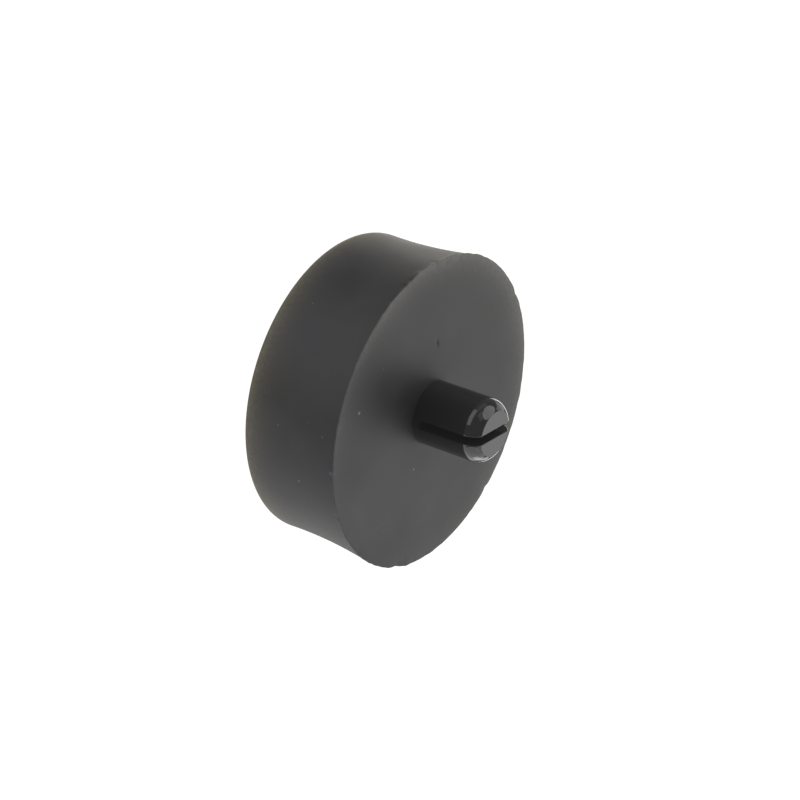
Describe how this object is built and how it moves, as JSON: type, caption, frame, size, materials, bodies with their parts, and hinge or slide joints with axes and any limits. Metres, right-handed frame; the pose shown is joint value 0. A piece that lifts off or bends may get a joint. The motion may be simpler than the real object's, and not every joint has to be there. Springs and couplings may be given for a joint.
{
  "type": "rubber foot",
  "caption": "Push-in foot: a round matte rubber body with a slightly hollow side, moulded onto a stiff split stud whose flat-ended nose, with a rounded shoulder, presses into a panel hole.",
  "frame": {"origin": "centre of the flat ground face, which the foot stands on", "axes": "+Z from the ground face towards the stud's nose, along the foot's axis; the slit in the stud runs along Y"},
  "size_m": [0.025, 0.025, 0.0149],
  "materials": {
    "rubber": "matte, charcoal, moulded",
    "stud_plastic": "glossy, black, moulded"
  },
  "bodies": {
    "root": {"rubber_body": "rubber", "split_stud": "stud_plastic"}
  },
  "joints": []
}
